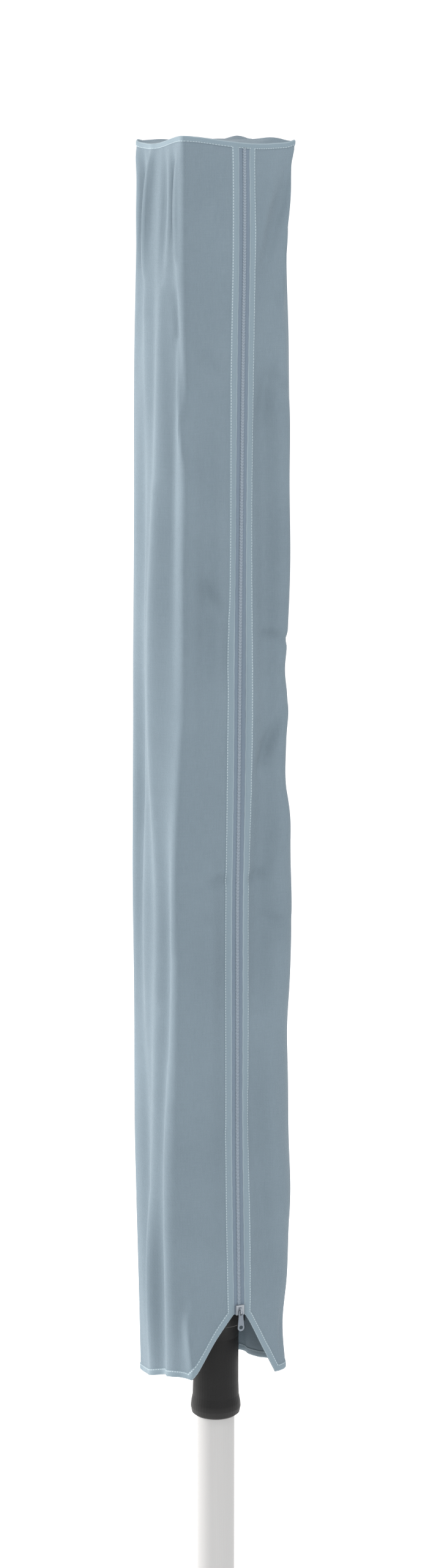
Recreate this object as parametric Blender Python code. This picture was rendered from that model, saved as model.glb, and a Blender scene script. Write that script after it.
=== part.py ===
"""Folding rotary clothesline, folded up, standing on its mast inside a zipped storage cover.

Metres, +Z up along the mast, the zip of the cover on the -Y side. The mast foot is at z = 0.
Each manufactured piece is one object. The four arms and the four stays are alike and repeat
around the mast. The umbrella linkage has stays exactly as long as the part of each arm
between its lower pivot and the stay, so the crown runs straight up the mast as it opens.
"""
import math

import bmesh
import bpy
from mathutils import Matrix, Vector

MM = 0.001

# Mast
MAST_R = 25.0 * MM
MAST_WALL = 1.6 * MM
MAST_BOTTOM = 14.9 * MM

# Umbrella linkage
HUB_PIVOT_Z = 2.150
CROWN_PIVOT_Z = 0.752
PIVOT_OUT = 25.0 * MM
ARM_OFFSET = 26.0 * MM
ARM_PAST_HUB = 71.5 * MM
MAST_PAST_HUB = 9.7 * MM
OPEN_ANGLE = math.radians(68.0)
ARM_COUNT = 4
FIRST_ARM_DEG = 68.0

# Pivots
PIN_R = 3.0 * MM
PIN_CLEARANCE = 0.3 * MM
TONGUE_W = 13.0 * MM
TONGUE_R = 6.0 * MM

# Stays, pressed channels open to the outside
STAY_DEPTH = 16.0 * MM
STAY_CLEARANCE = 0.5 * MM
STAY_WALL = 1.5 * MM
WEB_SETBACK = 13.0 * MM

# Arms
ARM_R = 9.0 * MM
ARM_WALL = 1.2 * MM
SLEEVE_WALL = 2.5 * MM
RAIL_W = 5.0 * MM
RAIL_H = 4.2 * MM
LINE_PITCH = 88.0 * MM
LINE_COUNT = 14
LINE_R = 2.1 * MM

# Crown and its grip
NECK_OUT = 3.3 * MM
CROWN_OUT = 12.0 * MM
SKIRT_OUT = 14.0 * MM
GRIP_OUT = 5.3 * MM
GRIP_LIP_OUT = 8.3 * MM
GRIP_LOW = 196.5 * MM
GRIP_HIGH = 66.2 * MM
LOCK_BELOW = 17.5 * MM
LOCK_R = 4.0 * MM
LOCK_TRAVEL = 5.0 * MM

# Cover, square in section, with an arm in each corner and the zip up the middle of one face
COVER_SIDE = 157.0 * MM
COVER_CORNER_R = 16.0 * MM
FACE_DEG = 23.0
CLOTH = 1.0 * MM
COVER_HEM = 0.620
TOP_SLACK = 0.7 * MM
ZIP_FOOT = 0.712
SLIDER_STOP = 7.0 * MM
SLIDER_H = 13.0 * MM
ZIP_HALF_W = 7.6 * MM
BINDING_W = 7.0 * MM
BINDING_T = 0.8 * MM
FLAP_HALF_W = 60.0 * MM

GAP = 0.3 * MM
WELD = 0.002 * MM

# Sizes and places that follow from the ones above
MAST_TOP = HUB_PIVOT_Z + MAST_PAST_HUB
PIVOT_R = MAST_R + PIVOT_OUT
ARM_TIP_Z = HUB_PIVOT_Z + ARM_PAST_HUB
PIN_HOLE_R = PIN_R + PIN_CLEARANCE
STAY_INNER_W = TONGUE_W + 2.0 * STAY_CLEARANCE
SLEEVE_R = ARM_R + SLEEVE_WALL
NECK_R = MAST_R + NECK_OUT
CROWN_R = MAST_R + CROWN_OUT
SKIRT_R = MAST_R + SKIRT_OUT
GRIP_R = MAST_R + GRIP_OUT
GRIP_LIP_R = MAST_R + GRIP_LIP_OUT
GRIP_BOTTOM = CROWN_PIVOT_Z - GRIP_LOW
GRIP_TOP = CROWN_PIVOT_Z - GRIP_HIGH
LOCK_Z = CROWN_PIVOT_Z - LOCK_BELOW
COVER_TOP = ARM_TIP_Z + TOP_SLACK
SLIDER_LOW = ZIP_FOOT + SLIDER_STOP
STAY_LENGTH = (HUB_PIVOT_Z - CROWN_PIVOT_Z) / 2.0
KNEE_Z = CROWN_PIVOT_Z + STAY_LENGTH
CROWN_TRAVEL = 2.0 * STAY_LENGTH * (1.0 - math.cos(OPEN_ANGLE))
ARM_AXIS_R = PIVOT_R + ARM_OFFSET
FLAT_HALF = COVER_SIDE / 2.0 - COVER_CORNER_R
QUARTER = 2.0 * FLAT_HALF + math.pi / 2.0 * COVER_CORNER_R


def clear_scene():
    for item in list(bpy.data.objects):
        bpy.data.objects.remove(item, do_unlink=True)


def add_object(name, bm, smooth=True):
    bmesh.ops.recalc_face_normals(bm, faces=bm.faces)
    if bm.calc_volume(signed=True) < 0.0:
        bmesh.ops.reverse_faces(bm, faces=bm.faces)
    mesh = bpy.data.meshes.new(name)
    bm.to_mesh(mesh)
    bm.free()
    item = bpy.data.objects.new(name, mesh)
    bpy.context.scene.collection.objects.link(item)
    if smooth:
        shade(item)
    return item


def shade(item):
    item.data.shade_smooth()
    item.data.set_sharp_from_angle(angle=math.radians(32.0))


def boolean(target, tool, operation):
    """Combine the tool into the target and take the tool away."""
    modifier = target.modifiers.new("combine", "BOOLEAN")
    modifier.solver = "EXACT"
    modifier.operation = operation
    modifier.object = tool
    graph = bpy.context.evaluated_depsgraph_get()
    mesh = bpy.data.meshes.new_from_object(target.evaluated_get(graph))
    target.modifiers.clear()
    target.data = mesh
    bpy.data.objects.remove(tool, do_unlink=True)
    bm = bmesh.new()
    bm.from_mesh(mesh)
    bmesh.ops.remove_doubles(bm, verts=bm.verts, dist=WELD)
    bmesh.ops.triangulate(bm, faces=bm.faces)
    bm.to_mesh(mesh)
    bm.free()
    shade(target)


def union(target, tool):
    boolean(target, tool, "UNION")


def cut(target, tool):
    boolean(target, tool, "DIFFERENCE")


def turn(item, degrees):
    item.data.transform(Matrix.Rotation(math.radians(degrees), 4, "Z"))


def put_origin(item, point):
    """Set the object's origin on its joint without moving the piece."""
    point = Vector(point)
    item.data.transform(Matrix.Translation(-point))
    item.location = point


def lathe(name, profile, segments=48):
    """Turn a profile of (radius, height) about Z; a profile off the axis is a closed ring."""
    bm = bmesh.new()
    rings = []
    for radius, height in profile:
        if radius == 0.0:
            rings.append([])
            continue
        ring = []
        for step in range(segments):
            angle = 2.0 * math.pi * step / segments
            ring.append(bm.verts.new((radius * math.cos(angle), radius * math.sin(angle), height)))
        rings.append(ring)
    count = len(rings)
    pairs = range(count - 1) if profile[0][0] == 0.0 else range(count)
    for index in pairs:
        lower = rings[index]
        upper = rings[(index + 1) % count]
        if not lower:
            bm.faces.new(upper)
            continue
        if not upper:
            bm.faces.new(lower)
            continue
        for step in range(segments):
            after = (step + 1) % segments
            bm.faces.new((lower[step], lower[after], upper[after], upper[step]))
    return add_object(name, bm)


def ring_profile(outer, inner, bottom, top):
    return [(outer, bottom), (outer, top), (inner, top), (inner, bottom)]


def tube(name, outer, inner, bottom, top, segments=48):
    return lathe(name, ring_profile(outer, inner, bottom, top), segments)


def rod(name, radius, bottom, top, segments=16):
    return lathe(name, [(0.0, bottom), (radius, bottom), (radius, top), (0.0, top)], segments)


def cross_rod(name, radius, x, z, half_length, segments=14):
    """A rod along Y through (x, z)."""
    item = rod(name, radius, -half_length, half_length, segments)
    item.data.transform(Matrix.Rotation(math.radians(-90.0), 4, "X"))
    item.data.transform(Matrix.Translation((x, 0.0, z)))
    return item


def radial_rod(name, radius, z, start, end, segments=24):
    """A rod pointing out from the mast at the back, half way between two arms."""
    item = rod(name, radius, start, end, segments)
    point_back(item, z)
    return item


def point_back(item, z):
    item.data.transform(Matrix.Rotation(math.radians(-90.0), 4, "X"))
    item.data.transform(Matrix.Translation((0.0, 0.0, z)))
    turn(item, FACE_DEG)


def box(name, low, high):
    bm = bmesh.new()
    bmesh.ops.create_cube(bm, size=1.0)
    for vert in bm.verts:
        for axis in range(3):
            middle = (low[axis] + high[axis]) / 2.0
            vert.co[axis] = middle + vert.co[axis] * (high[axis] - low[axis])
    return add_object(name, bm, smooth=False)


def plate(name, outline, low_y, high_y):
    """A flat plate with its outline given in the X-Z plane."""
    bm = bmesh.new()
    near = [bm.verts.new((x, low_y, z)) for x, z in outline]
    far = [bm.verts.new((x, high_y, z)) for x, z in outline]
    bm.faces.new(near)
    bm.faces.new(list(reversed(far)))
    count = len(outline)
    for index in range(count):
        after = (index + 1) % count
        bm.faces.new((near[index], far[index], far[after], near[after]))
    return add_object(name, bm)


def arc(x, z, radius, start_deg, end_deg, steps):
    points = []
    for step in range(steps + 1):
        angle = math.radians(start_deg + (end_deg - start_deg) * step / steps)
        points.append((x + radius * math.cos(angle), z + radius * math.sin(angle)))
    return points


def rounded_bar(x, low_z, high_z, radius, steps=10):
    """Outline of a bar along Z with half-round ends centred at low_z and high_z."""
    return arc(x, high_z, radius, 0.0, 180.0, steps) + arc(x, low_z, radius, 180.0, 360.0, steps)


def pin(name, x, z, grip_half, azimuth):
    """A headed pivot pin along Y; grip_half reaches to the outside of the cheeks it joins."""
    head = PIN_R + 1.8 * MM
    inside = grip_half + GAP
    outside = inside + 1.6 * MM
    profile = [
        (0.0, -outside),
        (head, -outside),
        (head, -inside),
        (PIN_R, -inside),
        (PIN_R, inside),
        (head, inside),
        (head, outside),
        (0.0, outside),
    ]
    item = lathe(name, profile, 14)
    item.data.transform(Matrix.Rotation(math.radians(-90.0), 4, "X"))
    item.data.transform(Matrix.Translation((x, 0.0, z)))
    turn(item, azimuth)
    return item


def build_foot():
    cup = [
        (0.0, 0.0),
        (MAST_R + 3.5 * MM, 0.0),
        (MAST_R + 5.0 * MM, 1.5 * MM),
        (MAST_R + 5.0 * MM, 60.0 * MM),
        (MAST_R + 9.0 * MM, 64.0 * MM),
        (MAST_R + 9.0 * MM, 70.0 * MM),
        (MAST_R + 1.5 * MM, 70.0 * MM),
        (MAST_R + 0.5 * MM, 69.0 * MM),
        (MAST_R + 0.5 * MM, 8.0 * MM),
        (0.0, 8.0 * MM),
    ]
    lathe("foot_cup", cup, 48)
    rod("thrust_disc", MAST_R - 1.0 * MM, 8.3 * MM, 10.3 * MM, 40)


def build_mast():
    mast = tube("mast_tube", MAST_R, MAST_R - MAST_WALL, MAST_BOTTOM, MAST_TOP, 56)
    for height in (LOCK_Z, LOCK_Z + CROWN_TRAVEL):
        cut(mast, radial_rod("hole", LOCK_R + 0.6 * MM, height, MAST_R - 6.0 * MM, MAST_R + 4.0 * MM))
    inside = MAST_R - MAST_WALL - GAP
    plug = [
        (0.0, 10.6 * MM),
        (MAST_R - 1.0 * MM, 10.6 * MM),
        (MAST_R, 11.6 * MM),
        (MAST_R, 14.6 * MM),
        (inside, 14.6 * MM),
        (inside, 38.0 * MM),
        (inside - 1.5 * MM, 40.0 * MM),
        (0.0, 40.0 * MM),
    ]
    lathe("foot_plug", plug, 48)


def build_hub():
    hub_r = MAST_R + 6.0 * MM
    hub_top = HUB_PIVOT_Z + 28.0 * MM
    core = [
        (0.0, MAST_TOP + GAP),
        (MAST_R + GAP, MAST_TOP + GAP),
        (MAST_R + GAP, HUB_PIVOT_Z - 46.0 * MM),
        (hub_r - 1.5 * MM, HUB_PIVOT_Z - 46.0 * MM),
        (hub_r, HUB_PIVOT_Z - 42.0 * MM),
        (hub_r, HUB_PIVOT_Z + 25.0 * MM),
        (hub_r - 1.0 * MM, hub_top),
        (0.0, hub_top),
    ]
    hub = lathe("top_hub", core, 48)
    for index in range(ARM_COUNT):
        azimuth = FIRST_ARM_DEG + 360.0 / ARM_COUNT * index
        root = MAST_R + 3.0 * MM
        outline = [(root, HUB_PIVOT_Z - 11.0 * MM), (PIVOT_R - 10.0 * MM, HUB_PIVOT_Z - TONGUE_R)]
        outline += arc(PIVOT_R, HUB_PIVOT_Z, TONGUE_R, -90.0, 90.0, 10)
        outline += [(PIVOT_R - 10.0 * MM, HUB_PIVOT_Z + TONGUE_R), (root, HUB_PIVOT_Z + 11.0 * MM)]
        tongue = plate("tongue", outline, -TONGUE_W / 2.0, TONGUE_W / 2.0)
        cut(tongue, cross_rod("hole", PIN_HOLE_R, PIVOT_R, HUB_PIVOT_Z, TONGUE_W))
        turn(tongue, azimuth)
        union(hub, tongue)
        pin("stay_pin_%d" % (index + 1), PIVOT_R, HUB_PIVOT_Z,
            STAY_INNER_W / 2.0 + STAY_WALL, azimuth)
    cap = [
        (0.0, hub_top + GAP),
        (hub_r - 1.5 * MM, hub_top + GAP),
        (hub_r, hub_top + 3.0 * MM),
        (hub_r - 1.0 * MM, hub_top + 11.0 * MM),
        (hub_r - 7.0 * MM, hub_top + 17.0 * MM),
        (hub_r - 19.0 * MM, hub_top + 20.2 * MM),
        (0.0, hub_top + 20.2 * MM),
    ]
    lathe("top_cap", cap, 48)


def build_stay(index, azimuth):
    half_depth = STAY_DEPTH / 2.0
    outer_half = STAY_INNER_W / 2.0 + STAY_WALL
    outline = rounded_bar(PIVOT_R, KNEE_Z, HUB_PIVOT_Z, half_depth)
    stay = plate("stay_%d" % index, outline, -outer_half, outer_half)
    inner = STAY_INNER_W / 2.0
    web_face = PIVOT_R - half_depth + STAY_WALL
    far = PIVOT_R + 2.0 * half_depth
    cut(stay, box("inside", (web_face, -inner, KNEE_Z - 0.05), (far, inner, HUB_PIVOT_Z + 0.05)))
    near = PIVOT_R - 2.0 * half_depth
    for low, high in ((HUB_PIVOT_Z - WEB_SETBACK, HUB_PIVOT_Z + 0.05),
                      (KNEE_Z - 0.05, KNEE_Z + WEB_SETBACK)):
        cut(stay, box("window", (near, -inner, low), (PIVOT_R, inner, high)))
    for height in (HUB_PIVOT_Z, KNEE_Z):
        cut(stay, cross_rod("hole", PIN_HOLE_R, PIVOT_R, height, 2.0 * outer_half))
    turn(stay, azimuth)
    angle = math.radians(azimuth)
    put_origin(stay, (PIVOT_R * math.cos(angle), PIVOT_R * math.sin(angle), HUB_PIVOT_Z))


def arm_fitting(name, pivot_z, low, high, closed_foot, slotted):
    """A socket round the arm tube with a tongue reaching in to its pivot."""
    fitting = rod(name, SLEEVE_R, low, high, 24)
    fitting.data.transform(Matrix.Translation((ARM_AXIS_R, 0.0, 0.0)))
    outline = arc(PIVOT_R, pivot_z, TONGUE_R, 90.0, 270.0, 10)
    outline += [
        (PIVOT_R + 6.0 * MM, pivot_z - TONGUE_R),
        (ARM_AXIS_R - 3.0 * MM, pivot_z - 9.3 * MM),
        (ARM_AXIS_R - 3.0 * MM, pivot_z + 13.7 * MM),
        (PIVOT_R + 8.0 * MM, pivot_z + TONGUE_R),
    ]
    union(fitting, plate("tongue", outline, -TONGUE_W / 2.0, TONGUE_W / 2.0))
    floor = pivot_z - 10.0 * MM - GAP if closed_foot else low - 0.01
    bore = rod("bore", ARM_R + GAP, floor, high + 0.01, 24)
    bore.data.transform(Matrix.Translation((ARM_AXIS_R, 0.0, 0.0)))
    cut(fitting, bore)
    cut(fitting, cross_rod("hole", PIN_HOLE_R, PIVOT_R, pivot_z, TONGUE_W))
    if slotted:
        half = RAIL_W / 2.0 + 0.5 * MM
        cut(fitting, box("slot", (ARM_AXIS_R + 6.0 * MM, -half, low - 0.01),
                         (ARM_AXIS_R + 20.0 * MM, half, high + 0.01)))
    return fitting


def line_rail(name):
    """A strip along the outside of the arm with a keyhole notch for each turn of line."""
    inner = ARM_AXIS_R + ARM_R + GAP
    outer = inner + RAIL_H
    top = ARM_TIP_Z - 40.0 * MM
    first = top - 22.0 * MM
    bottom = first - LINE_PITCH * (LINE_COUNT - 1) - 18.0 * MM
    outline = [(inner, bottom), (inner, top), (outer, top)]
    for step in range(LINE_COUNT):
        height = first - LINE_PITCH * step
        centre = outer - LINE_R - 0.2 * MM
        outline.append((outer, height + 1.2 * MM))
        outline += arc(centre, height, LINE_R, 34.0, 326.0, 5)
        outline.append((outer, height - 1.2 * MM))
    outline.append((outer, bottom))
    return plate(name, outline, -RAIL_W / 2.0, RAIL_W / 2.0)


def build_arm(index, azimuth):
    foot = CROWN_PIVOT_Z - 10.0 * MM
    end = ARM_TIP_Z - 5.0 * MM
    pieces = []
    arm_tube = tube("arm_tube_%d" % index, ARM_R, ARM_R - ARM_WALL, foot, end, 24)
    arm_tube.data.transform(Matrix.Translation((ARM_AXIS_R, 0.0, 0.0)))
    pieces.append(arm_tube)
    pieces.append(arm_fitting("arm_root_%d" % index, CROWN_PIVOT_Z, CROWN_PIVOT_Z - 14.0 * MM,
                              CROWN_PIVOT_Z + 30.0 * MM, True, False))
    pieces.append(arm_fitting("stay_bracket_%d" % index, KNEE_Z, KNEE_Z - 15.0 * MM,
                              KNEE_Z + 22.0 * MM, False, True))
    pieces.append(line_rail("line_rail_%d" % index))
    cap_profile = [
        (0.0, end + GAP),
        (ARM_R + GAP, end + GAP),
        (ARM_R + GAP, ARM_TIP_Z - 32.0 * MM),
        (SLEEVE_R, ARM_TIP_Z - 32.0 * MM),
        (SLEEVE_R, ARM_TIP_Z - 15.5 * MM),
        (SLEEVE_R - 1.4 * MM, ARM_TIP_Z - 13.0 * MM),
        (SLEEVE_R, ARM_TIP_Z - 10.5 * MM),
        (SLEEVE_R, ARM_TIP_Z - 6.0 * MM),
        (SLEEVE_R - 4.0 * MM, ARM_TIP_Z - 0.8 * MM),
        (SLEEVE_R - 7.0 * MM, ARM_TIP_Z),
        (0.0, ARM_TIP_Z),
    ]
    cap = lathe("tip_cap_%d" % index, cap_profile, 24)
    cap.data.transform(Matrix.Translation((ARM_AXIS_R, 0.0, 0.0)))
    pieces.append(cap)
    for piece in pieces:
        turn(piece, azimuth)
    pin("knee_pin_%d" % index, PIVOT_R, KNEE_Z, STAY_INNER_W / 2.0 + STAY_WALL, azimuth)
    angle = math.radians(azimuth)
    put_origin(arm_tube, (PIVOT_R * math.cos(angle), PIVOT_R * math.sin(angle), KNEE_Z))


def build_crown():
    bore = MAST_R + 1.7 * MM
    crown_low = CROWN_PIVOT_Z - 150.0 * MM
    crown_high = CROWN_PIVOT_Z + 16.0 * MM
    profile = [
        (bore, crown_low),
        (NECK_R, crown_low),
        (NECK_R, CROWN_PIVOT_Z - 46.0 * MM),
        (SKIRT_R - 4.4 * MM, CROWN_PIVOT_Z - 46.0 * MM),
        (SKIRT_R - 4.4 * MM, GRIP_TOP + 0.4 * MM),
        (SKIRT_R - 0.8 * MM, GRIP_TOP + 0.4 * MM),
        (SKIRT_R, GRIP_TOP + 1.4 * MM),
        (SKIRT_R, CROWN_PIVOT_Z - 39.0 * MM),
        (CROWN_R, CROWN_PIVOT_Z - 34.0 * MM),
        (CROWN_R, crown_high - 4.0 * MM),
        (CROWN_R - 2.0 * MM, crown_high),
        (bore, crown_high),
    ]
    crown = lathe("crown", profile, 48)
    cheek_half = STAY_INNER_W / 2.0
    cheek_t = 3.5 * MM
    for index in range(ARM_COUNT):
        azimuth = FIRST_ARM_DEG + 360.0 / ARM_COUNT * index
        for side in (-1.0, 1.0):
            root = MAST_R + 6.0 * MM
            outline = [(root, CROWN_PIVOT_Z - 24.0 * MM)]
            outline += arc(PIVOT_R, CROWN_PIVOT_Z, 8.0 * MM, -60.0, 90.0, 10)
            outline += [(root, CROWN_PIVOT_Z + 8.0 * MM)]
            ends = sorted((side * cheek_half, side * (cheek_half + cheek_t)))
            cheek = plate("cheek", outline, ends[0], ends[1])
            cut(cheek, cross_rod("hole", PIN_HOLE_R, PIVOT_R, CROWN_PIVOT_Z,
                                 2.0 * (cheek_half + cheek_t)))
            turn(cheek, azimuth)
            union(crown, cheek)
        pin("arm_pin_%d" % (index + 1), PIVOT_R, CROWN_PIVOT_Z, cheek_half + cheek_t, azimuth)
    union(crown, radial_rod("boss", 9.0 * MM, LOCK_Z, MAST_R + 6.0 * MM, CROWN_R + 4.0 * MM))
    cut(crown, radial_rod("hole", LOCK_R + 0.4 * MM, LOCK_Z, MAST_R, CROWN_R + 13.0 * MM))
    put_origin(crown, (PIVOT_R * math.cos(math.radians(FIRST_ARM_DEG)),
                       PIVOT_R * math.sin(math.radians(FIRST_ARM_DEG)), CROWN_PIVOT_Z))

    liner = tube("crown_liner", MAST_R + 1.4 * MM, MAST_R + 0.4 * MM, crown_low + 2.0 * MM,
                 crown_high - 2.0 * MM, 48)
    cut(liner, radial_rod("hole", LOCK_R + 0.6 * MM, LOCK_Z, MAST_R - 3.0 * MM, MAST_R + 6.0 * MM))

    grip = [
        (NECK_R + 0.3 * MM, GRIP_TOP),
        (NECK_R + 0.3 * MM, crown_low - 1.0 * MM),
        (MAST_R + 0.7 * MM, crown_low - 1.0 * MM),
        (MAST_R + 0.7 * MM, GRIP_BOTTOM + 1.2 * MM),
        (MAST_R + 2.0 * MM, GRIP_BOTTOM),
        (GRIP_LIP_R - 4.5 * MM, GRIP_BOTTOM),
        (GRIP_LIP_R - 1.4 * MM, GRIP_BOTTOM + 2.5 * MM),
        (GRIP_LIP_R, GRIP_BOTTOM + 10.0 * MM),
        (GRIP_LIP_R - 0.6 * MM, GRIP_BOTTOM + 17.0 * MM),
        (GRIP_R + 0.6 * MM, GRIP_BOTTOM + 27.0 * MM),
        (GRIP_R, GRIP_BOTTOM + 44.0 * MM),
        (GRIP_R, GRIP_TOP - 20.0 * MM),
        (GRIP_R + 2.4 * MM, GRIP_TOP - 2.0 * MM),
        (GRIP_R + 2.2 * MM, GRIP_TOP),
    ]
    lathe("grip_sleeve", grip, 48)


def build_lock_pin():
    """The lock pin slides in the crown's boss and drops into a hole in the mast."""
    start = MAST_R + 0.5 * MM
    knob = CROWN_R + 4.0 * MM + LOCK_TRAVEL + 0.5 * MM
    profile = [
        (0.0, start),
        (LOCK_R - 0.8 * MM, start),
        (LOCK_R, start + 0.8 * MM),
        (LOCK_R, knob),
        (7.0 * MM, knob),
        (7.5 * MM, knob + 1.0 * MM),
        (7.5 * MM, knob + 6.0 * MM),
        (6.0 * MM, knob + 8.0 * MM),
        (0.0, knob + 8.0 * MM),
    ]
    item = lathe("lock_pin", profile, 24)
    point_back(item, LOCK_Z)
    angle = math.radians(FACE_DEG + 90.0)
    put_origin(item, (start * math.cos(angle), start * math.sin(angle), LOCK_Z))


def on_cover(along, depth, height):
    """A point of the cover's square section; along runs round it from the zip, to the right."""
    quarter = math.floor((along + QUARTER / 2.0) / QUARTER)
    side = along - quarter * QUARTER
    flat = max(-FLAT_HALF, min(FLAT_HALF, side))
    bend = (side - flat) / COVER_CORNER_R
    out = FLAT_HALF + (COVER_CORNER_R - depth) * math.cos(bend)
    across = flat + (COVER_CORNER_R - depth) * math.sin(bend)
    angle = math.radians(FACE_DEG - 90.0 + 90.0 * quarter)
    return (out * math.cos(angle) - across * math.sin(angle),
            out * math.sin(angle) + across * math.cos(angle), height)


def flap_edge(height):
    """Distance from the middle of the zip to the edge of the cloth beside it."""
    if height >= ZIP_FOOT:
        return ZIP_HALF_W
    spread = (ZIP_FOOT - height) / (ZIP_FOOT - COVER_HEM)
    return ZIP_HALF_W + (FLAP_HALF_W - ZIP_HALF_W) * spread ** 0.9


def spaced(low, high, steps):
    return [low + (high - low) * step / steps for step in range(steps + 1)]


def round_section(start, end):
    """Places along the section from start to end, close together only at the corners."""
    places = [start]
    for quarter in range(-1, 5):
        corner = (quarter + 0.5) * QUARTER
        reach = QUARTER / 2.0 - FLAT_HALF
        places += [p for p in spaced(corner - reach, corner + reach, 5) if start < p < end]
    places.append(end)
    return places


def cloth_strip(name, heights, places, lift, thickness):
    """A sheet that follows the cover; places(height) gives its columns, lift is how far out."""
    bm = bmesh.new()
    layers = []
    for depth in (-lift - thickness, -lift):
        layers.append([[bm.verts.new(on_cover(along, depth, height)) for along in places(height)]
                       for height in heights])
    last = len(heights) - 1
    columns = len(layers[0][0]) - 1
    for rows in layers:
        for index in range(last):
            for column in range(columns):
                bm.faces.new((rows[index][column], rows[index][column + 1],
                              rows[index + 1][column + 1], rows[index + 1][column]))
    outside, inside = layers
    for column in range(columns):
        for index in (0, last):
            bm.faces.new((outside[index][column], outside[index][column + 1],
                          inside[index][column + 1], inside[index][column]))
    for index in range(last):
        for column in (0, columns):
            bm.faces.new((outside[index][column], outside[index + 1][column],
                          inside[index + 1][column], inside[index][column]))
    return add_object(name, bm)


def cloth_ring(name, levels, capped):
    """Closed loops round the cover, each (depth, height, scale), skinned; capped or joined up."""
    places = round_section(-QUARTER / 2.0 + 1.0e-6, 3.5 * QUARTER - 1.0e-6)[1:-1]
    bm = bmesh.new()
    loops = []
    for depth, height, scale in levels:
        loop = []
        for along in places:
            x, y, z = on_cover(along, depth, height)
            loop.append(bm.verts.new((x * scale, y * scale, z)))
        loops.append(loop)
    count = len(places)
    pairs = len(loops) - 1 if capped else len(loops)
    for index in range(pairs):
        lower = loops[index]
        upper = loops[(index + 1) % len(loops)]
        for step in range(count):
            after = (step + 1) % count
            bm.faces.new((lower[step], lower[after], upper[after], upper[step]))
    if capped:
        bm.faces.new(loops[0])
        bm.faces.new(loops[-1])
    return add_object(name, bm)


def build_cover():
    around = 4.0 * QUARTER

    def body_places(height):
        edge = flap_edge(height)
        beside = spaced(edge, FLAP_HALF_W + 1.0 * MM, 3)
        far_side = [around - along for along in reversed(beside)]
        return beside[:-1] + round_section(beside[-1], far_side[0]) + far_side[1:]

    heights = spaced(COVER_HEM, ZIP_FOOT, 5) + spaced(ZIP_FOOT, COVER_TOP, 4)[1:]
    body = cloth_strip("cover_body", heights, body_places, -CLOTH, CLOTH)
    put_origin(body, (0.0, 0.0, COVER_TOP))

    top = COVER_TOP + GAP
    cloth_ring("cover_top", [(0.0, top, 1.0), (0.0, top + CLOTH, 1.0),
                             (0.0, top + CLOTH + 1.8 * MM, 0.82),
                             (0.0, top + CLOTH + 4.0 * MM, 0.43)], True)

    half_zip = ZIP_HALF_W - 0.4 * MM
    cloth_strip("zip_tape", spaced(ZIP_FOOT + 2.0 * MM, COVER_TOP, 4),
                lambda height: [-half_zip, 0.0, half_zip], -CLOTH, CLOTH)
    cloth_strip("zip_coil", spaced(SLIDER_LOW + SLIDER_H + 0.5 * MM, COVER_TOP - 9.6 * MM, 4),
                lambda height: [-2.0 * MM, 0.0, 2.0 * MM], GAP, 1.4 * MM)

    tape_heights = spaced(COVER_HEM + 0.5 * MM, ZIP_FOOT, 5)
    tape_heights += spaced(ZIP_FOOT, COVER_TOP - 9.5 * MM, 4)[1:]
    for name, side in (("binding_right", 1.0), ("binding_left", -1.0)):
        def tape_places(height, side=side):
            edge = flap_edge(height)
            return [side * along for along in spaced(edge, edge + BINDING_W, 2)]
        cloth_strip(name, tape_heights, tape_places, GAP, BINDING_T)
    start = FLAP_HALF_W + BINDING_W + 1.0 * MM
    cloth_strip("hem_binding", [COVER_HEM - 0.5 * MM, COVER_HEM + 8.5 * MM],
                lambda height: round_section(start, around - start), GAP, BINDING_T)
    low = COVER_TOP - 9.0 * MM
    high = COVER_TOP + 1.3 * MM
    outside = -GAP - BINDING_T
    cloth_ring("top_binding", [(outside, low, 1.0), (outside, high, 1.0), (-GAP, high, 1.0),
                               (-GAP, low, 1.0)], False)


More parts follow.
